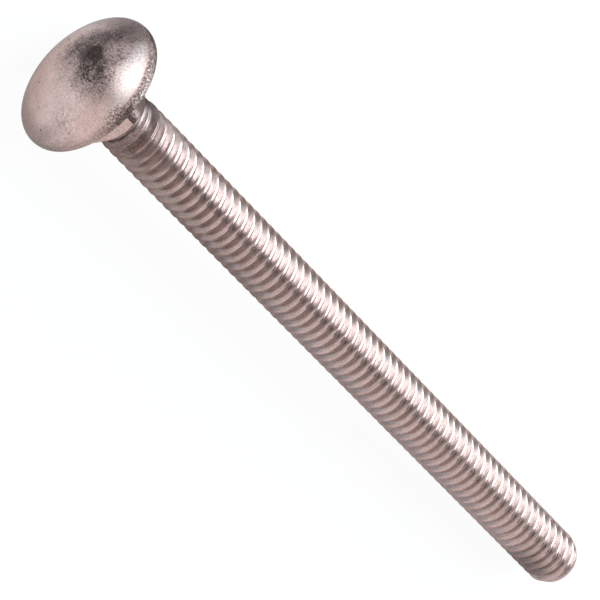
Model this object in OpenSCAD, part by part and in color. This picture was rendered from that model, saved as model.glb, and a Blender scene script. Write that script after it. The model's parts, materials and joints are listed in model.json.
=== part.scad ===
// Carriage bolt with a domed head, a square neck and a full-length rolled thread.
// It lies at rest on the rim of its head and on the last full turn of its thread.

/* [Head] */
// Diameter of the domed head
head_d = 14.6; // [13:0.1:18]
// Height of the head above its bearing face
head_h = 3.3; // [2.6:0.1:3.8]
// Height above the bearing face at which the dome meets the rounded rim
rim_h = 0.75; // [0.6:0.05:0.8]
// Height above the bearing face at which the rim is widest
rim_low = 0.25; // [0.2:0.05:0.4]
// Radius of the rounded rim, in section
rim_r = 0.8; // [0.7:0.05:1.5]

/* [Square neck] */
// Width across the flats of the neck
neck_w = 6.35; // [5.8:0.05:7]
// Diameter across the rounded corners of the neck
neck_corner_d = 8.2; // [7.4:0.1:9]
// Depth of the neck below the head
neck_l = 4.4; // [2.5:0.1:6]
// Length over which the corners run out to the round shank
neck_taper_l = 0.9; // [0.5:0.1:1.5]
// Turn of the neck about the axis of the bolt, with 0 flat side down
neck_turn = 32.5; // [0:0.5:89.5]

/* [Thread] */
// Outside diameter of the thread
thread_d = 6.1; // [5.8:0.05:6.6]
// Distance from one turn of the thread to the next
pitch = 1.27; // [1.2:0.01:2]
// Depth of the thread from crest to root
thread_depth = 0.7; // [0.4:0.01:0.76]
// Width of the flat crest
crest_w = 0.26; // [0.05:0.01:0.3]
// Angle between the two flanks
flank_angle = 60; // [50:1:60]
// Length over which the first turns rise to their full height
run_in_l = 1.9; // [0.5:0.1:5]
// Turn of the thread about the axis of the bolt
thread_turn = 6; // [0:1:359]

/* [Length and tip] */
// Length of the bolt below its head
bolt_l = 88.4; // [40:0.1:92]
// Diameter of the flat end
tip_d = 5; // [4:0.1:5.6]
// Length of the tapered end
tip_l = 1.1; // [0.5:0.1:2]

/* [Hidden] */

$fn = 72;
steel = [0.6, 0.54, 0.52];

// Head
head_r = head_d / 2;
rim_centre = [head_r - rim_r, rim_low];
rim_edge = [rim_centre.x + sqrt(pow(rim_r, 2) - pow(rim_h - rim_low, 2)), rim_h];
dome_rise = head_h - rim_h;
dome_r = (rim_edge.x * rim_edge.x + dome_rise * dome_rise) / (2 * dome_rise);
dome_centre = [0, head_h - dome_r];
// The rim's circle crosses the dome twice, and the crown's block ends half way between
rim_line = (rim_centre - dome_centre) / norm(rim_centre - dome_centre);
crown_x = dome_centre.x + rim_line.x * ((rim_edge - dome_centre) * rim_line);

// Shank before the thread is rolled on it, which is about half way down the flanks
crest_r = thread_d / 2;
root_r = crest_r - thread_depth;
blank_r = (crest_r + root_r) / 2;
neck_end_r = blank_r + 0.3;
sink = 0.3;

// Thread section, as places along one pitch from the middle of a crest
SIDES = 20;
ROWS_A_TURN = 4;
flank_w = thread_depth * tan(flank_angle / 2);
row_place = [-crest_w / 2, crest_w / 2, crest_w / 2 + flank_w, pitch - crest_w / 2 - flank_w];
row_r = [crest_r, crest_r, root_r, root_r];
thread_start = neck_l - sink;
first_turn = floor(thread_start / pitch) - 3;
turns = ceil((bolt_l - thread_start) / pitch) + 4;
rows = turns * ROWS_A_TURN;
// Rows closer than this to either end of the thread move on to it
snap = 0.03;

// Angle of a column of points, counted from the lowest side of the lying bolt
function column_angle(j) = (j + 0.5) * 360 / SIDES;

// Place of a point along the bolt, before it is held between the two ends of the thread
function helix_z(i, j) =
    pitch * (first_turn + floor(i / ROWS_A_TURN) + (column_angle(j) + thread_turn) / 360)
    + row_place[i % ROWS_A_TURN];

// How far the thread has risen from the plain blank
function rise(z) = min(1, max(0, (z - neck_l) / run_in_l));

// Radius that the tapered end leaves
function taper_r(z) = tip_d / 2 + (bolt_l - z) / tip_l * (crest_r - tip_d / 2);

function thread_r(z, full_r) = min(taper_r(z), blank_r + rise(z) * (full_r - blank_r));

// Full radius of the thread at any place, from how far it is from the nearest crest
function section_r(away) =
    away < crest_w / 2 ? crest_r :
    away > crest_w / 2 + flank_w ? root_r :
    crest_r - (away - crest_w / 2) / flank_w * thread_depth;
function nearest_crest(z, j) =
    let (turn = z / pitch - (column_angle(j) + thread_turn) / 360) pitch * abs(turn - round(turn));
function end_r(j) = thread_r(bolt_l, section_r(nearest_crest(bolt_l, j)));

// One point of the thread as its place along the bolt and its radius
function thread_point(i, j) =
    let (z = helix_z(i, j))
    z < thread_start + snap ? [thread_start, blank_r] :
    z > bolt_l - snap ? [bolt_l, end_r(j)] :
    [z, thread_r(z, row_r[i % ROWS_A_TURN])];

// Lean at which the rim of the head and a point under the shank are on one flat surface
function lean_to(p) =
    let (run = p[0] + rim_centre.y, drop = rim_centre.x - p[1] * cos(180 / SIDES))
    atan2(drop, run) + asin(rim_r / norm([run, drop]));
lean = min([for (i = [0 : rows - 1]) for (j = [0, SIDES - 1]) lean_to(thread_point(i, j))]);

// Where the head's bearing face sits, so that the lying bolt is centred over the origin
head_x = (dome_r - head_h) * cos(lean) - dome_r;
tip_x = max([for (j = [0 : SIDES - 1])
    bolt_l * cos(lean) - end_r(j) * cos(column_angle(j)) * sin(lean)]);
seat_x = -(head_x + tip_x) / 2;
seat_z = rim_centre.x * cos(lean) + rim_r - rim_centre.y * sin(lean);

// Dome over a rounded rim, turned as one section, with its bearing face at z = 0
module head() {
    mirror([0, 0, 1])
        rotate_extrude()
            intersection() {
                translate(dome_centre) circle(dome_r, $fn = 180);
                union() {
                    square([crown_x, head_h]);
                    translate(rim_centre) circle(rim_r);
                }
                square([head_d, head_d]);
            }
}

// Square prism whose corners are rounded, and taper in to the round shank
module square_neck() {
    intersection() {
        rotate([0, 0, neck_turn])
            translate([-neck_w / 2, -neck_w / 2, -sink])
                cube([neck_w, neck_w, neck_l + sink]);
        rotate_extrude()
            polygon([
                [0, -head_h],
                [neck_corner_d / 2, -head_h],
                [neck_corner_d / 2, neck_l - neck_taper_l],
                [neck_end_r, neck_l],
                [0, neck_l]
            ]);
    }
}

// Right-hand thread: each column of points holds the same rows, one column further round
// and a step further along, and the last column meets the first one turn on
module threaded_shank() {
    points = concat(
        [for (j = [0 : SIDES - 1]) for (i = [0 : rows - 1])
            let (p = thread_point(i, j), a = column_angle(j))
            [p[1] * cos(a), p[1] * sin(a), p[0]]],
        [[0, 0, thread_start], [0, 0, bolt_l]]
    );
    start_centre = SIDES * rows;
    end_centre = start_centre + 1;

    function at(i, j) = j < SIDES
        ? j * rows + min(i, rows - 1)
        : min(i + ROWS_A_TURN, rows - 1);
    function whole(f) = points[f[0]] != points[f[1]]
        && points[f[1]] != points[f[2]]
        && points[f[2]] != points[f[0]];

    skin = [for (j = [0 : SIDES - 1]) for (i = [0 : rows - 2])
        each [
            [at(i, j), at(i + 1, j), at(i + 1, j + 1)],
            [at(i, j), at(i + 1, j + 1), at(i, j + 1)]
        ]];
    caps = [for (j = [0 : SIDES - 1])
        each [
            [start_centre, at(0, j), at(0, (j + 1) % SIDES)],
            [end_centre, at(rows - 1, (j + 1) % SIDES), at(rows - 1, j)]
        ]];
    polyhedron(points, [for (f = concat(skin, caps)) if (whole(f)) f]);
}

// One forging: head, neck and shank are a single piece of steel
module carriage_bolt() {
    color(steel)
        translate([seat_x, 0, seat_z])
            rotate([0, 90 + lean, 0]) {
                head();
                square_neck();
                threaded_shank();
            }
}

carriage_bolt();
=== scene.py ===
"""Looks of the carriage bolt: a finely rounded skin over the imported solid, its steel, light and camera."""

import functools
import json
import math
from typing import NamedTuple

import bmesh
import bpy
import numpy as np
from mathutils import Matrix, Vector


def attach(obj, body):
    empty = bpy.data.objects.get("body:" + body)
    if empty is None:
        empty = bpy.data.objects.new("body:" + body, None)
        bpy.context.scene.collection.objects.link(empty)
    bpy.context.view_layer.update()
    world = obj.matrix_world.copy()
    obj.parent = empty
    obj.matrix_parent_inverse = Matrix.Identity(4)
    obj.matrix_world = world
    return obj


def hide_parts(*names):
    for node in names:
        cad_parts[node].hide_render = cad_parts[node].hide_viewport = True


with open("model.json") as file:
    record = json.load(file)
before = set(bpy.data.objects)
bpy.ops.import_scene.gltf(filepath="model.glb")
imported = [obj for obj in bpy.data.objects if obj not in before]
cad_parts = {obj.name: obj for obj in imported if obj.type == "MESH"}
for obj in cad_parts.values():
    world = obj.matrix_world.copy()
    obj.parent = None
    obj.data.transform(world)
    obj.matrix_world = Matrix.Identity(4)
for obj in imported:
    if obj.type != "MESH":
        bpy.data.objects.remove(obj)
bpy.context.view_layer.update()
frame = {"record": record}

MM = 0.001

# The bolt's own frame: x up, y to its side, z along its axis from the head's bearing face to the tip. In the
# camera's picture z and the dome's x run down to the right, and y runs down to the left
mounts = {mount["name"]: mount for mount in frame["record"]["mounts"]}
tip_mount = mounts["thread"]
neck_mount = mounts["square_neck"]
AXIS = Vector(tip_mount["axis"]).normalized()
TIP = Vector(tip_mount["pos_m"]) / MM
THREAD_L = tip_mount["dims"]["length_mm"]
NECK_L = 2 * ((TIP - Vector(neck_mount["pos_m"]) / MM).length - THREAD_L)
BOLT_L = THREAD_L + NECK_L
SEAT = TIP - AXIS * BOLT_L
SIDE = Vector((0, -1, 0))
UP = SIDE.cross(AXIS)
BOLT_FRAME = Matrix((UP, SIDE, AXIS)).transposed().to_4x4()
BOLT_FRAME.translation = SEAT * MM

# Head, in millimetres. The edge between dome and rim is rounded off over the crease's length on each side
HEAD_R = 7.3
HEAD_H = 3.3
RIM_R = 0.8
RIM_LOW = 0.25
RIM_H = 0.75
CREASE = 0.12

# Thread. The solid's crests are flats, 20 to a turn, so the round crest here lies on their middles
PITCH = 1.27
THREAD_DEPTH = 0.7
CREST_W = 0.26
FLANK_ANGLE = 60
RUN_IN_L = 1.9
THREAD_TURN = 6
SOLID_SIDES = 20
CREST_R = tip_mount["dims"]["r_mm"] * math.cos(math.pi / SOLID_SIDES)
ROOT_R = tip_mount["dims"]["r_mm"] - THREAD_DEPTH
BLANK_R = (tip_mount["dims"]["r_mm"] + ROOT_R) / 2
SECTION_ROUND = 0.035

# Rolling leaves a seam along each crest, which is deeper on the first turns, where the thread is less filled
SEAM_DEPTH = 0.02
SEAM_MORE = 0.1
SEAM_W = 0.06
FILL_L = 4 * RUN_IN_L

# Tapered end
TIP_R = 2.5
TIP_L = 1.1
TIP_EDGE = 0.02

# Square neck. Its shell sinks into the head and the thread, and the thread's shell sinks into it
SINK = 0.3
NECK_W = 6.35
NECK_CORNER_R = 4.1
NECK_TAPER_L = 0.9
NECK_END_R = BLANK_R + 0.3
NECK_SINK_SLOPE = 2
NECK_TURN = 32.5
NECK_EDGE = 0.05

# How fine the skin is. The dome starts at a small angle from the axis, in radians
AROUND = 64
HEAD_AROUND = 144
DOME_START = 0.0005
DOME_ROWS = 44
RIM_ROWS = 16
NECK_ROWS = 44
SECTION_STEPS = 508
SAME_PLACE = 0.0005
SHARP_FROM = math.radians(40)

# Places of the thread's rows along one pitch, closer together where the section curves
ROWS_ON_CREST = np.linspace(-0.2, 0.2, 7)
ROWS_ON_FLANK = np.array([0.3, 0.42])
ROWS_IN_ROOT = np.linspace(0.5, PITCH - 0.5, 5)
ROW_PLACES = np.concatenate([ROWS_ON_CREST, ROWS_ON_FLANK, ROWS_IN_ROOT, PITCH - ROWS_ON_FLANK[::-1]])
# Turns that start before the thread does, so that each column of points reaches its start
SPARE_TURNS = 2


def smooth_min(a, b, width):
    """The smaller of two values, with a rounded change from one to the other."""
    return -width * np.log(np.exp(-a / width) + np.exp(-b / width))


def thread_section():
    """Radius at each step along one pitch from the middle of a crest, with the section's corners rounded."""
    away = np.linspace(0, PITCH, SECTION_STEPS, endpoint=False)
    away = np.minimum(away, PITCH - away)
    drop = (away - CREST_W / 2) / math.tan(math.radians(FLANK_ANGLE / 2))
    radius = np.clip(CREST_R - drop, ROOT_R, CREST_R)
    soften = np.exp(-0.5 * (away / SECTION_ROUND) ** 2)
    soften /= soften.sum()
    return np.real(np.fft.ifft(np.fft.fft(radius) * np.fft.fft(soften)))


SECTION = thread_section()


def thread_radius(z, angle):
    """Radius of the threaded shank at z and at an angle in turns, counted from the lowest side."""
    turn = (z / PITCH - angle - THREAD_TURN / 360) % 1
    full = np.interp(turn, np.arange(SECTION_STEPS + 1) / SECTION_STEPS, np.append(SECTION, SECTION[0]))
    away = np.minimum(turn, 1 - turn) * PITCH
    filled = np.clip((z - NECK_L) / FILL_L, 0, 1)
    full = full - (SEAM_DEPTH + SEAM_MORE * (1 - filled)) * np.exp(-(away / SEAM_W) ** 2)
    rise = np.clip((z - NECK_L) / RUN_IN_L, 0, 1)
    taper = TIP_R + (BOLT_L - z) / TIP_L * (CREST_R - TIP_R)
    return smooth_min(taper, BLANK_R + rise * (full - BLANK_R), TIP_EDGE)


def in_scene(made):
    """Links an object to the scene."""
    bpy.context.scene.collection.objects.link(made)
    return made


def joined(name, shells):
    """One mesh object from several closed shells of points and faces in the bolt's frame.

    Each shell has a material slot of its own, and each point keeps its place in that frame, in millimetres,
    for the steel to use."""
    mesh = bmesh.new()
    bolt_place = mesh.verts.layers.float_vector.new("bolt_place")
    for slot, (points, faces) in enumerate(shells):
        made = []
        for point in points:
            made.append(mesh.verts.new(BOLT_FRAME @ (Vector(point) * MM)))
            made[-1][bolt_place] = point
        for face in faces:
            mesh.faces.new([made[k] for k in face]).material_index = slot
    bmesh.ops.remove_doubles(mesh, verts=mesh.verts, dist=SAME_PLACE * MM)
    bmesh.ops.dissolve_degenerate(mesh, edges=mesh.edges, dist=SAME_PLACE * MM)
    bmesh.ops.recalc_face_normals(mesh, faces=mesh.faces)
    data = bpy.data.meshes.new(name)
    mesh.to_mesh(data)
    mesh.free()
    data.shade_smooth()
    data.set_sharp_from_angle(angle=SHARP_FROM)
    return in_scene(bpy.data.objects.new(name, data))


def turned_shell(radii, places, around):
    """Closed shell turned about the axis.

    radii holds a row for each place, and either one column for all angles or one for each angle."""
    rows = len(places)
    angle = np.arange(around) * 2 * math.pi / around
    radii = np.broadcast_to(radii, (rows, around))
    points = [(radii[i, j] * math.cos(angle[j]), radii[i, j] * math.sin(angle[j]), places[i])
              for i in range(rows) for j in range(around)]

    def at(i, j):
        return i * around + j % around

    faces = [(at(i, j), at(i + 1, j), at(i + 1, j + 1), at(i, j + 1))
             for i in range(rows - 1) for j in range(around)]
    faces.append(tuple(at(0, j) for j in range(around)))
    faces.append(tuple(at(rows - 1, j) for j in range(around)))
    return points, faces


def head_section():
    """Points down the head's section, as distances from the axis and heights above the bearing face."""
    rim_x = HEAD_R - RIM_R
    edge_x = rim_x + math.sqrt(RIM_R ** 2 - (RIM_H - RIM_LOW) ** 2)
    rise = HEAD_H - RIM_H
    dome_r = (edge_x ** 2 + rise ** 2) / (2 * rise)
    dome_end = math.asin(edge_x / dome_r) - CREASE / dome_r
    dome = [(dome_r * math.sin(t), dome_r * math.cos(t) - dome_r + HEAD_H)
            for t in np.linspace(DOME_START, dome_end, DOME_ROWS)]
    first = math.asin((RIM_H - RIM_LOW) / RIM_R) - CREASE / RIM_R
    last = -math.asin(RIM_LOW / RIM_R)
    rim = [(rim_x + RIM_R * math.cos(t), RIM_LOW + RIM_R * math.sin(t))
           for t in np.linspace(first, last, RIM_ROWS)]
    middle = (np.array(dome[-1]) + np.array(rim[0])) / 2
    crease = [tuple((middle + np.array([edge_x, RIM_H])) / 2)]
    return dome + crease + rim + [(NECK_CORNER_R, 0)]


def head_shell():
    """Dome, rounded rim and bearing face."""
    section = head_section()
    radii = np.array([out for out, height in section])[:, None]
    return turned_shell(radii, [-height for out, height in section], HEAD_AROUND)


def neck_shell():
    """Square neck with rounded corners, which taper in to the round shank."""
    places = np.linspace(-SINK, NECK_L + SINK, NECK_ROWS)
    angle = np.arange(HEAD_AROUND) * 2 * math.pi / HEAD_AROUND
    to_flat = (angle - math.pi - math.radians(NECK_TURN) + math.pi / 4) % (math.pi / 2) - math.pi / 4
    flat = NECK_W / 2 / np.cos(to_flat)
    run = (NECK_L - places) / NECK_TAPER_L
    corner = np.minimum(NECK_CORNER_R, NECK_END_R + run * (NECK_CORNER_R - NECK_END_R))
    corner = np.where(places > NECK_L, NECK_END_R - (places - NECK_L) * NECK_SINK_SLOPE, corner)
    return turned_shell(smooth_min(flat[None, :], corner[:, None], NECK_EDGE), list(places), HEAD_AROUND)


def thread_places(start):
    """Places along the bolt of the thread's points, with a line for each row and a column for each angle."""
    first = math.floor(start / PITCH) - SPARE_TURNS
    turns = math.ceil((BOLT_L - start) / PITCH) + SPARE_TURNS + 1
    z = (first + np.arange(turns)[:, None]) * PITCH + ROW_PLACES[None, :]
    z = z.ravel()[:, None] + (np.arange(AROUND)[None, :] / AROUND + THREAD_TURN / 360) * PITCH
    return np.clip(z, start, BOLT_L)


def thread_shell():
    """Right-hand thread.

    Each column holds the same rows, further along, and the last column meets the first one turn on."""
    start = NECK_L - SINK
    z = thread_places(start)
    rows = z.shape[0]
    angle = np.arange(AROUND) / AROUND
    r = thread_radius(z, angle[None, :])
    # The lowest side, where angles start, lies opposite the frame's x
    x = -r * np.cos(angle * 2 * math.pi)
    y = -r * np.sin(angle * 2 * math.pi)
    points = [(x[i, j], y[i, j], z[i, j]) for j in range(AROUND) for i in range(rows)]
    points += [(0, 0, start), (0, 0, BOLT_L)]
    start_middle = len(points) - 2
    end_middle = len(points) - 1

    def at(i, j):
        if j < AROUND:
            return j * rows + min(i, rows - 1)
        return min(i + len(ROW_PLACES), rows - 1)

    def has_length(i, j):
        pair = [j, (j + 1) % AROUND]
        return min(z[i, pair]) < BOLT_L and max(z[i + 1, pair]) > start

    faces = [(at(i, j), at(i + 1, j), at(i + 1, j + 1), at(i, j + 1))
             for j in range(AROUND) for i in range(rows - 1) if has_length(i, j)]
    for j in range(AROUND):
        following = (j + 1) % AROUND
        faces.append((start_middle, at(0, j), at(0, following)))
        faces.append((end_middle, at(rows - 1, j), at(rows - 1, following)))
    return points, faces


class Ramp(NamedTuple):
    """Smooth change from first, at a value of low, to last, at a value of high. Low may be above high."""

    low: float
    high: float
    first: float = 0.0
    last: float = 1.0


class Noise(NamedTuple):
    """Noise: its cells to the millimetre, its octaves of detail, and how rough they make it."""

    cells: float
    detail: float
    roughness: float = 0.5


class Streaks(NamedTuple):
    """Noise drawn out one way: its turn in degrees, and its cells to the millimetre along and across."""

    turn: float
    along: float
    across: float


class Mark(NamedTuple):
    """Oval mark on the dome.

    Its middle and half sizes are in millimetres and its turn in degrees. It is even over a share of its half
    size, and fades from there to its edge."""

    middle: tuple
    half_size: tuple
    turn: float
    strength: float
    even: float = 0.1


# A mark's half size along the bolt's axis, so large that the dome's depth doesn't count
FLAT = 1e6

# Noise over a place that is already scaled to its cells, and the detail of noise that warps a place
SCALED_NOISE = Noise(1.0, 2.0)
WARP_DETAIL = 4.0

# Steel is pale, and dull in broad patches
DULL_PATCHES = Ramp(0.35, 0.7)


class Nodes:
    """Node tree of a material or of the world, emptied and built again."""

    def __init__(self, owner):
        owner.use_nodes = True
        self.tree = owner.node_tree
        self.tree.nodes.clear()

    def add(self, kind, settings=None, **inputs):
        """Adds a shader node. An input is named by its label, or by its number after an underscore."""
        made = self.tree.nodes.new(kind)
        for key, value in (settings or {}).items():
            setattr(made, key, value)
        for key, value in inputs.items():
            socket = made.inputs[int(key[1:])] if key.startswith("_") else made.inputs[key.replace("_", " ")]
            if isinstance(value, bpy.types.NodeSocket):
                self.tree.links.new(value, socket)
            else:
                socket.default_value = value
        return made

    def maths(self, operation, *values):
        """The result of one Math node."""
        inputs = {f"_{k}": value for k, value in enumerate(values)}
        return self.add("ShaderNodeMath", {"operation": operation}, **inputs).outputs[0]

    def vector_maths(self, operation, **inputs):
        """The result of one Vector Math node that gives a vector."""
        return self.add("ShaderNodeVectorMath", {"operation": operation}, **inputs).outputs["Vector"]

    def times(self, *values):
        """The product of all the values."""
        return functools.reduce(lambda a, b: self.maths("MULTIPLY", a, b), values)

    def most(self, *values):
        """The largest of the values."""
        return functools.reduce(lambda a, b: self.maths("MAXIMUM", a, b), values)

    def spread(self, share, first, last):
        """Goes evenly from first, where the share is 0, to last, where it is 1."""
        return self.maths("MULTIPLY_ADD", share, last - first, first)

    def between(self, value, ramp):
        """The value taken through a ramp."""
        return self.add("ShaderNodeMapRange", {"interpolation_type": "SMOOTHSTEP"}, Value=value,
                        From_Min=ramp.low, From_Max=ramp.high, To_Min=ramp.first,
                        To_Max=ramp.last).outputs["Result"]


class Steel(Nodes):
    """Steel that is painted in layers. Its places lie in the bolt's frame, in millimetres."""

    def __init__(self, name, pale, dull, broad_noise):
        self.material = bpy.data.materials.new(name)
        super().__init__(self.material)
        self.place = self.add("ShaderNodeAttribute", {"attribute_name": "bolt_place"}).outputs["Vector"]
        self.x, self.y, self.z = self.add("ShaderNodeSeparateXYZ", None, _0=self.place).outputs
        squares = self.maths("ADD", self.times(self.x, self.x), self.times(self.y, self.y))
        self.out = self.maths("SQRT", squares)
        self.broad = self.noise(self.place, broad_noise)
        self.colour = pale
        self.paint(dull, self.between(self.broad, DULL_PATCHES))

    def paint(self, colour, *shares):
        """Covers the steel with a colour, by the product of the shares."""
        made = self.add("ShaderNodeMix", {"data_type": "RGBA"}, _0=self.times(*shares), _6=self.colour,
                        _7=colour)
        self.colour = made.outputs[2]

    def noise(self, place, look):
        """Noise at a place, from 0 to 1 and mostly about 0.5."""
        return self.add("ShaderNodeTexNoise", None, Vector=place, Scale=look.cells, Detail=look.detail,
                        Roughness=look.roughness).outputs["Fac"]

    def streaks(self, place, look):
        """Noise at a place, drawn out one way."""
        size = (1 / look.along, 1 / look.across, 1 / look.across)
        drawn = self.add("ShaderNodeMapping", {"vector_type": "TEXTURE"}, Vector=place,
                         Rotation=(0, 0, math.radians(look.turn)), Scale=size).outputs[0]
        return self.noise(drawn, SCALED_NOISE)

    def warped(self, place, cells, reach):
        """A place moved by up to half the reach each way, so that the edges of marks are ragged."""
        shift = self.add("ShaderNodeTexNoise", None, Vector=place, Scale=cells, Detail=WARP_DETAIL)
        centred = self.vector_maths("SUBTRACT", _0=shift.outputs["Color"], _1=(0.5, 0.5, 0.5))
        return self.vector_maths("ADD", _0=place, _1=self.vector_maths("SCALE", _0=centred, Scale=reach))

    def marked(self, place, *marks):
        """How strongly marks cover a place on the dome, seen along the bolt's axis."""
        return self.most(0.0, *(self.one_mark(place, mark) for mark in marks))

    def one_mark(self, place, mark):
        """How strongly one mark covers a place: by its strength in its middle, and by 0 from its edge on."""
        turn = (0, 0, math.radians(mark.turn))
        oval = self.add("ShaderNodeMapping", {"vector_type": "TEXTURE"}, Vector=place,
                        Location=(*mark.middle, 0), Rotation=turn, Scale=(*mark.half_size, FLAT)).outputs[0]
        out = self.add("ShaderNodeVectorMath", {"operation": "LENGTH"}, _0=oval).outputs["Value"]
        return self.times(self.between(out, Ramp(1.0, mark.even)), mark.strength)

    def finished(self, rough, relief, rise, edge_on):
        """The finished material: its roughness, its relief and how far it rises, and its tint edge on."""
        bump = self.add("ShaderNodeBump", None, Height=relief, Strength=1.0, Distance=rise * MM).outputs[0]
        metal = self.add("ShaderNodeBsdfPrincipled", None, Base_Color=self.colour, Metallic=1.0,
                         Roughness=rough, Normal=bump, Specular_Tint=edge_on).outputs[0]
        self.add("ShaderNodeOutputMaterial", None, Surface=metal)
        return self.material


# Colours of the dome, the first two of which are its bare steel. The greyer one serves brushed lines and
# painted shade, the near-black one pits and a painted dark reflection, and the brightest a painted highlight
PALE = (0.765, 0.553, 0.508, 1)
MIDDLE = (0.682, 0.489, 0.445, 1)
GREYER = (0.35, 0.25, 0.235, 1)
PIT_AND_REFLECTION_BLACK = (0.012, 0.008, 0.008, 1)
PAINTED_HIGHLIGHT = (0.92, 0.84, 0.81, 1)
DOME_EDGE_ON = (0.9, 0.82, 0.8, 1)

# Colours of dirt and painted shade on any part of the bolt
GRIME_AND_SHADE = (0.09, 0.066, 0.06, 1)
BROWN_SHADE = (0.045, 0.029, 0.023, 1)

# Marks on the dome: middle, half size, turn, strength, and the share of the size over which it is even
# The spots, and the shades about them, are a painted dark reflection
DARK_REFLECTION_SPOTS = (
    Mark((0.9, -2.35), (1.75, 1.4), 20, 0.98, 0.55),
    Mark((0.5, -2.0), (3.0, 2.4), 20, 0.93, 0.2),
)
SHADES = (
    Mark((1.3, -1.0), (4.3, 3.2), 10, 0.62),
    Mark((2.7, -0.9), (3.6, 3.0), 20, 0.93),
    Mark((0.5, -3.0), (3.6, 1.7), 4, 0.95),
    Mark((2.1, -1.3), (2.9, 2.2), 20, 1.0, 0.35),
    Mark((2.9, -3.3), (1.6, 1.4), 58, 0.5, 0.3),
    Mark((-0.9, -3.2), (2.4, 2.3), 20, 0.92),
    Mark((-1.1, -1.8), (2.7, 3.2), 20, 0.87),
    Mark((0.0, -4.6), (2.6, 3.4), -8, 0.9),
)
SMEARS = Mark((3.8, 4.0), (2.6, 1.8), 46, 0.4)
ROUGH = Mark((6.95, 0.3), (0.9, 1.75), 0, 0.8, 0.3)
# Where the painted highlight lies
HIGHLIGHT_BAND = Mark((5.7, -2.9), (9.0, 2.0), 58, 0.78)
PIT_SIZE = (0.16, 0.12)
PITS = tuple(Mark(middle, PIT_SIZE, turn=30, strength=1.0, even=0.3)
             for middle in ((-2.2, 3.07), (1.44, 6.03), (2.1, 1.2), (4.2, -0.9)))

# Noise and streaks on the dome
DOME_BROAD = Noise(0.45, 2.0)
DOME_FINE = Noise(7.0, 3.0, 0.65)
DOME_GRAIN = Noise(5.0, 4.0, 0.8)
DOME_PATCHES = Noise(1.3, 4.0, 0.6)
BRUSHED_STREAKS = Streaks(70, 0.3, 2.2)
HAIR_STREAKS = Streaks(-25, 1.6, 6.0)
SMEAR_STREAKS = Streaks(46, 0.6, 4.0)

# Warps of places on the dome: their cells to the millimetre, and their reach in millimetres
MARK_WARP = (0.9, 1.7)
HAIR_WARP = (1.5, 1.2)

# Ramps over the dome's noise and streaks
BRUSHED = Ramp(0.4, 0.7)
DARK_FINE = Ramp(0.45, 0.58)
BROKEN_SHADE = Ramp(0.43, 0.57, 0.69, 1.19)
BROKEN_REFLECTION_SPOT = Ramp(0.46, 0.41, 1.0, 0.91)
GRAIN_SPECKS = Ramp(0.51, 0.56)
HAIR_SPECKS = Ramp(0.58, 0.66)
PATCHY_SPECKS = Ramp(0.4, 0.58, 0.3, 1.0)
BROKEN_HIGHLIGHT = Ramp(0.56, 0.46, 0.35, 0.95)
SMEARED = Ramp(0.45, 0.62)
HOLLOWS = Ramp(0.46, 0.53)
POINTS = Ramp(0.46, 0.4)
BROKEN_BROWN_SHADE = Ramp(0.42, 0.56, 0.78, 1.0)

# Ramps over places on the dome, in millimetres along x, y or z or out from the axis
SHADED_SIDE_BY_Y = Ramp(-1.5, -6.5)
SPECKS_BY_Y = Ramp(2.5, -2.0, 0.14, 0.89)
SPECKS_BY_X = Ramp(4.0, 6.0, 1.0, 0.25)
NARROW_EDGE_BY_OUT = Ramp(6.2, 7.3)
NARROW_EDGE_BY_X = Ramp(6.0, 3.0, 0.1, 0.45)
BROAD_EDGE_BY_OUT = Ramp(5.0, 6.8)
BROAD_EDGE_BY_X = Ramp(4.5, 2.0, 0.0, 0.5)
HIGHLIGHT_BY_OUT = Ramp(7.1, 6.4)
RIM_BY_Z = Ramp(-0.98, -0.78)
RIM_BY_Y = Ramp(3.7, -0.3, 0.12, 0.9)
RIM_END_BY_Y = Ramp(-7.0, -5.0, 0.5, 1.0)
OUTER_FACE_BY_Z = Ramp(-0.8, -0.5)
OUTER_SHADE_BY_Y = Ramp(1.4, -1.2, 0.28, 0.95)
OUTER_SHADE_END_BY_Y = Ramp(-7.0, -5.4, 0.45, 1.0)

# Even changes on the dome, from their value at 0 to their value at 1
FINE_OFF_HIGHLIGHT = (0.2, 0.26)
PATCHY_SHADE = (0.44, 1.54)
SPECKS_OFF_HIGHLIGHT = (0.2, 1.0)
DOME_ROUGHNESS = (0.25, 0.37)

# Shares of layers on the dome, and its relief: the weights of the rim's grain and of the pits beside a fine
# grain of weight 1, and how far it all rises, in millimetres
BRUSHED_SHARE = 0.16
MOST_SPECKS = 0.95
PIT_SHARE = 0.8
RIM_SHARE = 0.45
POINT_SHARE = 0.75
RIM_RELIEF = 2.0
PIT_RELIEF = -3.0
DOME_RISE = 0.015


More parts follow.
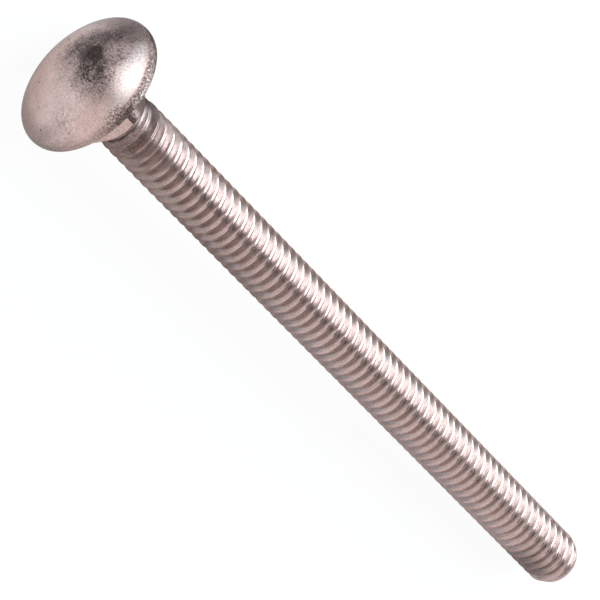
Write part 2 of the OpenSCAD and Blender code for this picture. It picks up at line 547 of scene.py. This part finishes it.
class DomeSteel(Steel):
    """Head: satin steel with a fine grain, pits, and a coarse, glinting rim.

    Painted on it are a dark reflection, shade and a highlight.
    """

    def __init__(self):
        super().__init__("dome_steel", PALE, MIDDLE, DOME_BROAD)
        self.fine = self.noise(self.place, DOME_FINE)
        self.grain = self.noise(self.place, DOME_GRAIN)
        self.patch = self.noise(self.place, DOME_PATCHES)
        # The band where the painted highlight lies, and the rest of the dome
        self.highlight_band = self.marked(self.place, HIGHLIGHT_BAND)
        self.off_highlight = self.maths("SUBTRACT", 1.0, self.highlight_band)
        self.pits = self.marked(self.place, *PITS)
        self.rim = self.between(self.z, RIM_BY_Z)

    def brush(self):
        """Faint brushed lines, a fine grain, and painted shade that greys the side at low y."""
        brushed = self.between(self.streaks(self.place, BRUSHED_STREAKS), BRUSHED)
        self.paint(GREYER, brushed, BRUSHED_SHARE)
        self.paint(GRIME_AND_SHADE, self.between(self.fine, DARK_FINE), self.spread(self.off_highlight, *FINE_OFF_HIGHLIGHT))
        # Painted shade: the side at low y is greyer, less so where the highlight lies
        self.paint(GREYER, self.between(self.y, SHADED_SIDE_BY_Y), self.off_highlight)

    def paint_dark_reflection(self):
        """Painted dark reflection: a near-black spot in a broken, ragged painted shade."""
        ragged = self.warped(self.place, *MARK_WARP)
        shade = self.times(self.marked(ragged, *SHADES), self.spread(self.patch, *PATCHY_SHADE),
                           self.between(self.grain, BROKEN_SHADE))
        spot = self.times(self.marked(ragged, *DARK_REFLECTION_SPOTS), self.between(self.grain, BROKEN_REFLECTION_SPOT))
        self.paint(PIT_AND_REFLECTION_BLACK, self.maths("MINIMUM", self.most(spot, shade), 1.0))

    def speckle(self):
        """Dark specks, thick at low y by the painted dark reflection, and thin elsewhere."""
        hairs = self.streaks(self.warped(self.place, *HAIR_WARP), HAIR_STREAKS)
        specks = self.most(self.between(self.grain, GRAIN_SPECKS), self.between(hairs, HAIR_SPECKS))
        thick = self.times(self.between(self.y, SPECKS_BY_Y), self.between(self.patch, PATCHY_SPECKS),
                           self.spread(self.off_highlight, *SPECKS_OFF_HIGHLIGHT), self.between(self.x, SPECKS_BY_X))
        self.paint(GRIME_AND_SHADE, specks, self.maths("MINIMUM", thick, MOST_SPECKS))

    def edge_shade_highlight_and_marks(self):
        """Painted shade on the edge, most at low x, a painted highlight by the rim, smears and pits."""
        narrow = self.times(self.between(self.out, NARROW_EDGE_BY_OUT),
                            self.between(self.x, NARROW_EDGE_BY_X))
        broad = self.times(self.between(self.out, BROAD_EDGE_BY_OUT),
                           self.between(self.x, BROAD_EDGE_BY_X))
        # Painted shade along the edge, left out where the highlight lies
        self.paint(GRIME_AND_SHADE, self.most(narrow, broad), self.off_highlight)
        # Painted highlight, broken by the grain
        self.paint(PAINTED_HIGHLIGHT, self.highlight_band, self.between(self.out, HIGHLIGHT_BY_OUT),
                   self.between(self.grain, BROKEN_HIGHLIGHT))
        smeared = self.between(self.streaks(self.place, SMEAR_STREAKS), SMEARED)
        self.paint(GRIME_AND_SHADE, self.marked(self.place, SMEARS), smeared)
        self.paint(PIT_AND_REFLECTION_BLACK, self.pits, PIT_SHARE)

    def coarsen_and_shade_rim(self):
        """Dark hollows and bright points on the rim, and painted shade on its low-y side and outer face."""
        side = self.times(self.rim, self.between(self.y, RIM_BY_Y), self.between(self.y, RIM_END_BY_Y))
        rough = self.most(side, self.marked(self.place, ROUGH))
        self.paint(GRIME_AND_SHADE, rough, self.between(self.grain, HOLLOWS))
        # Painted shade on the rim's side at low y
        self.paint(GRIME_AND_SHADE, side, RIM_SHARE)
        self.paint(PALE, side, self.between(self.grain, POINTS), POINT_SHARE)
        # Painted shade on the rim's outer face, most at low y, broken by the grain
        self.paint(BROWN_SHADE, self.between(self.z, OUTER_FACE_BY_Z), self.between(self.y, OUTER_SHADE_END_BY_Y),
                   self.between(self.y, OUTER_SHADE_BY_Y), self.between(self.grain, BROKEN_BROWN_SHADE))

    def relief(self):
        """Relief of the fine grain, coarser on the rim and sunk in the pits."""
        coarse = self.maths("MULTIPLY_ADD", self.times(self.grain, self.rim), RIM_RELIEF, self.fine)
        return self.maths("MULTIPLY_ADD", self.pits, PIT_RELIEF, coarse)


def dome_steel():
    """Material of the head."""
    steel = DomeSteel()
    steel.brush()
    steel.paint_dark_reflection()
    steel.speckle()
    steel.edge_shade_highlight_and_marks()
    steel.coarsen_and_shade_rim()
    return steel.finished(steel.spread(steel.broad, *DOME_ROUGHNESS), steel.relief(), DOME_RISE, DOME_EDGE_ON)


# Colours of the neck and the thread, and of the painted shade on them
NECK_PALE = (0.68, 0.5, 0.46, 1)
NECK_DULL = (0.6, 0.44, 0.405, 1)
THREAD_PALE = (0.6, 0.44, 0.405, 1)
THREAD_DULL = (0.54, 0.395, 0.36, 1)
FLANK = (0.505, 0.4, 0.378, 1)
SHANK_SHADE = (0.28, 0.188, 0.166, 1)
SHANK_EDGE_ON = (0.66, 0.5, 0.46, 1)

# Noise on the shank, and the cells of its lines, which are fine across the thread's helix and long along it
SHANK_BROAD = Noise(0.5, 2.0)
SHANK_FINE = Noise(6.0, 3.0, 0.6)
SHANK_PATCHES = Noise(1.1, 3.0)
LINE_CELLS = 9.0
LONG_CELLS = 0.25

# Ramps over the shank's noise
DARK_LINES = Ramp(0.5, 0.7)
DARK_SPECKS = Ramp(0.47, 0.56)
PATCHES = Ramp(0.4, 0.6)
BROKEN_CORNER = Ramp(0.42, 0.58, 0.78, 0.98)

# Ramps over places on the shank, in millimetres along x, y or z or out from the axis. z is the length below
# the head, and the last ramp is in turns of the thread from its nearest crest. Up to the first value the
# painted shade near the head is darkest
DARKEST_TO = 6.5
NEAR_HEAD_BY_Z = Ramp(14.0, DARKEST_TO)
SHADED_GROOVES_BY_Z = Ramp(26.0, DARKEST_TO)
LOWER_SIDE_BY_Z = Ramp(42.0, 20.0)
LOWER_SIDE_BY_Y = Ramp(0.6, 2.0)
UPPER_SIDE_BY_Y = Ramp(-0.5, -2.2)
FIRST_TURNS_BY_Z = Ramp(NECK_L + 4.2, NECK_L + 1.2)
RUN_IN_BY_Z = Ramp(NECK_L + 0.85, NECK_L + 0.45)
TIP_SHADE_BY_Z = Ramp(BOLT_L - 9.0, BOLT_L - 5.5)
TIP_SHADE_END_BY_Z = Ramp(BOLT_L - 0.8, BOLT_L - 2.8)
TIP_SHADE_BY_Y = Ramp(0.2, 2.2, 0.06, 0.61)
CORNER_BY_X = Ramp(0.0, 2.0, 0.4, 1.0)
CORNER_BY_OUT = Ramp(NECK_CORNER_R - 0.17, NECK_CORNER_R - 0.07)
FLANK_BY_OUT = Ramp(CREST_R - 0.02, CREST_R - 0.3)
ROOT_BY_OUT = Ramp(ROOT_R + 0.09, ROOT_R + 0.02)
GROOVE_BY_TURN = Ramp(0.27, 0.42)
HALF_TURN = 0.5

# Even changes on the shank, from their value at 0 to their value at 1
PATCHY_NEAR_SHADE = (0.4, 0.9)
PATCHY_GROOVE_SHADE = (0.25, 0.65)
SPECKS_ON_FIRST = (0.2, 0.52)
SHANK_ROUGHNESS = (0.2, 0.3)
RELIEF_NEAR_HEAD = (1.0, 2.5)

# Shares of layers on the shank, what some of them add to its roughness, and its relief: the weight of its
# lines beside a fine grain of weight 1, and how far it all rises, in millimetres
NECK_NEAR_SHARE = 0.25
NECK_UPPER_SHARE = 0.6
SPECK_SHARE = 0.2
LINE_SHARE = 0.15
LOWER_SIDE_SHARE = 0.55
FIRST_SHARE = 0.45
FIRST_UPPER_SHARE = 0.68
FIRST_PATCH_SHARE = 0.2
RUN_IN_SHARE = 0.35
ROOT_SHARE = 0.8
NEAR_ROUGHER = 0.05
FIRST_ROUGHER = 0.07
CORNER_ROUGHER = 0.25
LINE_RELIEF = 1.2
SHANK_RISE = 0.006


class ShankSteel(Steel):
    """Steel of the neck or the thread, with painted shade in patches near the head."""

    def __init__(self, name, pale, dull, near_share):
        super().__init__(name, pale, dull, SHANK_BROAD)
        # Length along the bolt, less how far the thread climbs up to the place's angle
        angle = self.maths("ARCTAN2", self.y, self.x)
        self.lead = self.maths("MULTIPLY_ADD", angle, -PITCH / (2 * math.pi), self.z)
        rolled = self.add("ShaderNodeCombineXYZ", None, X=self.times(self.lead, LINE_CELLS),
                          Y=self.times(self.out, LINE_CELLS), Z=self.times(self.z, LONG_CELLS)).outputs[0]
        self.lines = self.noise(rolled, SCALED_NOISE)
        self.fine = self.noise(self.place, SHANK_FINE)
        self.patch = self.between(self.noise(self.place, SHANK_PATCHES), PATCHES)
        self.upper = self.between(self.y, UPPER_SIDE_BY_Y)
        self.near = self.times(self.between(self.z, NEAR_HEAD_BY_Z), near_share)
        # Painted shade near the head, in patches
        self.paint(SHANK_SHADE, self.near, self.spread(self.patch, *PATCHY_NEAR_SHADE))

    def draw_lines(self):
        """Fine dark lines along the thread."""
        self.paint(GRIME_AND_SHADE, self.between(self.lines, DARK_LINES), LINE_SHARE)

    def speckle(self, share):
        """Fine dark specks."""
        self.paint(GRIME_AND_SHADE, self.between(self.fine, DARK_SPECKS), share)

    def closed(self, rougher):
        """The finished material, with lines and grain in relief.

        rougher is added to its roughness, and so is more near the head."""
        relief = self.times(self.maths("MULTIPLY_ADD", self.lines, LINE_RELIEF, self.fine),
                            self.spread(self.near, *RELIEF_NEAR_HEAD))
        rough = self.maths("ADD", self.spread(self.broad, *SHANK_ROUGHNESS), rougher)
        rough = self.maths("MULTIPLY_ADD", self.near, NEAR_ROUGHER, rough)
        return self.finished(rough, relief, SHANK_RISE, SHANK_EDGE_ON)


def neck_steel():
    """Material of the neck: lines, specks, and painted shade on its side at low y and along its corners."""
    steel = ShankSteel("neck_steel", NECK_PALE, NECK_DULL, NECK_NEAR_SHARE)
    steel.draw_lines()
    steel.speckle(SPECK_SHARE)
    # Painted shade on the neck's side at low y
    steel.paint(GRIME_AND_SHADE, steel.upper, NECK_UPPER_SHARE)
    # Painted shade along the rounded corners, more at high x, broken by the fine grain
    corner = steel.times(steel.between(steel.out, CORNER_BY_OUT), steel.between(steel.fine, BROKEN_CORNER),
                         steel.between(steel.x, CORNER_BY_X))
    steel.paint(BROWN_SHADE, corner)
    return steel.closed(steel.times(corner, CORNER_ROUGHER))


def thread_steel():
    """Material of the thread: bright crests and duller flanks.

    Painted shade lies on its lower side, its first turns, its grooves and its last turns.
    """
    steel = ShankSteel("thread_steel", THREAD_PALE, THREAD_DULL, near_share=1.0)
    steel.paint(FLANK, steel.between(steel.out, FLANK_BY_OUT))
    # Painted shade on the lower side in the picture, more nearer the head
    steel.paint(SHANK_SHADE, steel.between(steel.y, LOWER_SIDE_BY_Y), steel.between(steel.z, LOWER_SIDE_BY_Z),
                LOWER_SIDE_SHARE)
    steel.draw_lines()
    first = steel.between(steel.z, FIRST_TURNS_BY_Z)
    shade_first_turns(steel, first)
    shade_grooves(steel)
    shade_tip(steel)
    return steel.closed(steel.times(first, FIRST_ROUGHER))


def shade_first_turns(steel, first):
    """First turns: painted shade and specks.

    The shade is most on their upper side in the picture and where the thread starts.
    """
    steel.paint(SHANK_SHADE, first, FIRST_SHARE)
    steel.speckle(steel.spread(first, *SPECKS_ON_FIRST))
    upper = steel.times(steel.upper, FIRST_UPPER_SHARE)
    steel.paint(GRIME_AND_SHADE, first, steel.maths("MULTIPLY_ADD", steel.patch, FIRST_PATCH_SHARE, upper))
    steel.paint(GRIME_AND_SHADE, steel.between(steel.z, RUN_IN_BY_Z), RUN_IN_SHARE)


def shade_grooves(steel):
    """Painted shade in the thread's roots, and more of it in the grooves near the head."""
    turns = steel.maths("MULTIPLY_ADD", steel.lead, 1 / PITCH, HALF_TURN - THREAD_TURN / 360)
    from_crest = steel.maths("PINGPONG", turns, HALF_TURN)
    groove_shade = steel.times(steel.between(steel.z, SHADED_GROOVES_BY_Z), steel.spread(steel.patch, *PATCHY_GROOVE_SHADE),
                       steel.between(from_crest, GROOVE_BY_TURN))
    steel.paint(GRIME_AND_SHADE, steel.most(groove_shade, steel.times(steel.between(steel.out, ROOT_BY_OUT), ROOT_SHARE)))


def shade_tip(steel):
    """Painted shade on the lower side in the picture of the last turns, short of the tapered end."""
    steel.paint(GRIME_AND_SHADE, steel.between(steel.z, TIP_SHADE_BY_Z), steel.between(steel.z, TIP_SHADE_END_BY_Z),
                steel.between(steel.y, TIP_SHADE_BY_Y))


bolt = joined("bolt", [head_shell(), neck_shell(), thread_shell()])
bolt.data.materials.append(dome_steel())
bolt.data.materials.append(neck_steel())
bolt.data.materials.append(thread_steel())
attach(bolt, "root")
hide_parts("carriage_bolt")

# Floor, which fills the picture, and how much of it is its own white to the camera and in what mirrors it
FLOOR_W = 6.0
FLOOR_GREY = (0.9, 0.9, 0.9, 1)
FLOOR_SEEN = 0.95
FLOOR_MIRRORED = 0.5

# World, which is white where it is seen or mirrored, and dimmer as a light
WORLD_LIGHT = 0.3
WHITE = (1, 1, 1, 1)


def white_floor():
    """Material of a floor that keeps a soft shadow under its own white."""
    material = bpy.data.materials.new("floor_white")
    nodes = Nodes(material)
    rays = nodes.add("ShaderNodeLightPath").outputs
    seen = nodes.times(rays["Is Camera Ray"], FLOOR_SEEN)
    mirrored = nodes.most(rays["Is Glossy Ray"], rays["Is Transmission Ray"])
    white = nodes.maths("MULTIPLY_ADD", mirrored, FLOOR_MIRRORED, seen)
    lit = nodes.add("ShaderNodeBsdfDiffuse", None, Color=FLOOR_GREY).outputs[0]
    glow = nodes.add("ShaderNodeEmission", None, Color=WHITE, Strength=1.0).outputs[0]
    shown = nodes.add("ShaderNodeMixShader", None, _0=white, _1=lit, _2=glow).outputs[0]
    nodes.add("ShaderNodeOutputMaterial", None, Surface=shown)
    return material


def white_world():
    """World of one white, at full strength to the camera and in mirrorings."""
    world = bpy.data.worlds.new("studio")
    nodes = Nodes(world)
    rays = nodes.add("ShaderNodeLightPath").outputs
    seen = nodes.most(rays["Is Camera Ray"], rays["Is Glossy Ray"], rays["Is Transmission Ray"])
    strength = nodes.spread(seen, WORLD_LIGHT, 1.0)
    back = nodes.add("ShaderNodeBackground", None, Color=WHITE, Strength=strength).outputs[0]
    nodes.add("ShaderNodeOutputWorld", None, Surface=back)
    return world


def rectangle(name, width, height, material):
    """Flat mesh around the origin, facing up."""
    mesh = bpy.data.meshes.new(name)
    corners = ((-1, -1), (1, -1), (1, 1), (-1, 1))
    mesh.from_pydata([(x * width / 2, y * height / 2, 0) for x, y in corners], [], [(0, 1, 2, 3)])
    mesh.materials.append(material)
    return mesh


# A direction whose level part is shorter than this is upright
UPRIGHT = 0.001


def facing(name, data, middle, towards):
    """An object that the camera doesn't see.

    Its -Z axis points towards a direction, and its X axis is level."""
    back = -Vector(towards).normalized()
    level = Vector((0, 0, 1)).cross(back)
    level = level.normalized() if level.length > UPRIGHT else Vector((1, 0, 0))
    turn = Matrix((level, back.cross(level), back)).transposed().to_4x4()
    made = in_scene(bpy.data.objects.new(name, data))
    made.matrix_world = Matrix.Translation(middle) @ turn
    made.visible_camera = False
    return made


def softbox(name, middle, towards, width, height, radiance, colour):
    """Area lamp of one radiance all over."""
    lamp = bpy.data.lights.new(name, "AREA")
    lamp.color = colour
    lamp.shape = "RECTANGLE"
    lamp.size = width
    lamp.size_y = height
    lamp.energy = radiance * math.pi * width * height
    facing(name, lamp, middle, towards)


def card(name, middle, towards, width, height, colour):
    """Card that only the steel mirrors."""
    material = bpy.data.materials.new(name)
    nodes = Nodes(material)
    paint = nodes.add("ShaderNodeBsdfDiffuse", None, Color=colour).outputs[0]
    nodes.add("ShaderNodeOutputMaterial", None, Surface=paint)
    made = facing(name, rectangle(name, width, height, material), middle, towards)
    made.visible_shadow = False
    made.visible_diffuse = False


floor = in_scene(bpy.data.objects.new("floor", rectangle("floor", FLOOR_W, FLOOR_W, white_floor())))
bpy.context.scene.world = white_world()

# Colours of the lamps and the cards
NEAR_COLOUR = (0.68, 0.88, 1.0)
FAR_COLOUR = (0.76, 0.9, 1.0)
LOW_COLOUR = (0.86, 0.96, 1.0)
BLACK = (0.005, 0.005, 0.005, 1)
BROWN = (0.28, 0.225, 0.18, 1)
SHADE = (0.64, 0.56, 0.54, 1)

# Directions. From here on, places and sizes of lamps and cards are in metres
UPWARDS = Vector((0, 0, 1))
DOWNWARDS = Vector((0, 0, -1))

# A wall of light leans over the bolt from its +Y side, with a dark card above it. Its near half shows in the
# flanks, after two mirrorings, and its far half on the crests
WALL_MIDDLE = Vector((0.5, 0.5, 0.34))
WALL_UP = Vector((0, -0.2, 0.68))
WALL_H = WALL_UP.length
WALL_FACES = WALL_UP.cross(Vector((-1, 0, 0)))
NEAR_W = 0.62
FAR_W = 0.5
softbox("near_wall", WALL_MIDDLE - Vector((NEAR_W / 2, 0, 0)), WALL_FACES, NEAR_W, WALL_H, radiance=10.0,
        colour=NEAR_COLOUR)
softbox("far_wall", WALL_MIDDLE + Vector((FAR_W / 2, 0, 0)), WALL_FACES, FAR_W, WALL_H, radiance=7.0,
        colour=FAR_COLOUR)
card("overhead_card", middle=Vector((0.45, 0.155, 0.66)), towards=DOWNWARDS, width=1.0, height=0.41,
     colour=BLACK)

# A low light and a dark card beside the head
softbox("low_box", middle=Vector((-0.475, 0.365, 0.075)), towards=Vector((0.475, -0.365, -0.05)), width=0.7,
        height=0.15, radiance=2.15, colour=LOW_COLOUR)
card("head_card", middle=Vector((-0.6, 0.075, 0.14)), towards=Vector((0.6, -0.075, 0)), width=0.16,
     height=0.28, colour=BLACK)

# Two strips beside the shank, just above the floor
STRIP_Z = 0.0002
card("strip", middle=Vector((0.04, 0.02, STRIP_Z)), towards=UPWARDS, width=0.16, height=0.022, colour=BROWN)
card("shade_strip", middle=Vector((0.045, -0.03, STRIP_Z)), towards=UPWARDS, width=0.15, height=0.044,
     colour=SHADE)

# Camera. It looks down on the lying bolt from the side of its head. In the bolt's frame and in millimetres it
# is so far out from the axis and so far behind the head, and aims at a place on the axis
CAMERA_OUT = 266.1
CAMERA_BACK = 198.2
CAMERA_AIM = 36.28
CAMERA_ROLL = math.radians(45.62)
LENS = 218.5
SENSOR_W = 36
CLIP_START = 0.01
CLIP_END = 20


def camera_pose():
    """The camera's place and turn.

    Its roll is how far down from level the bolt's axis runs in the picture."""
    spot = Vector((CAMERA_OUT, 0, -CAMERA_BACK))
    ahead = (Vector((0, 0, CAMERA_AIM)) - spot).normalized()
    along = (Vector((0, 0, 1)) - ahead * ahead.z).normalized()
    across = ahead.cross(along)
    right = along * math.cos(CAMERA_ROLL) - across * math.sin(CAMERA_ROLL)
    down = along * math.sin(CAMERA_ROLL) + across * math.cos(CAMERA_ROLL)
    pose = Matrix((right, -down, -ahead)).transposed().to_4x4()
    pose.translation = spot * MM
    return BOLT_FRAME @ pose


camera = in_scene(bpy.data.objects.new("camera", bpy.data.cameras.new("camera")))
camera.data.lens = LENS
camera.data.sensor_width = SENSOR_W
camera.data.clip_start = CLIP_START
camera.data.clip_end = CLIP_END
camera.matrix_world = camera_pose()
bpy.context.scene.camera = camera
bpy.context.scene.view_settings.view_transform = "Standard"
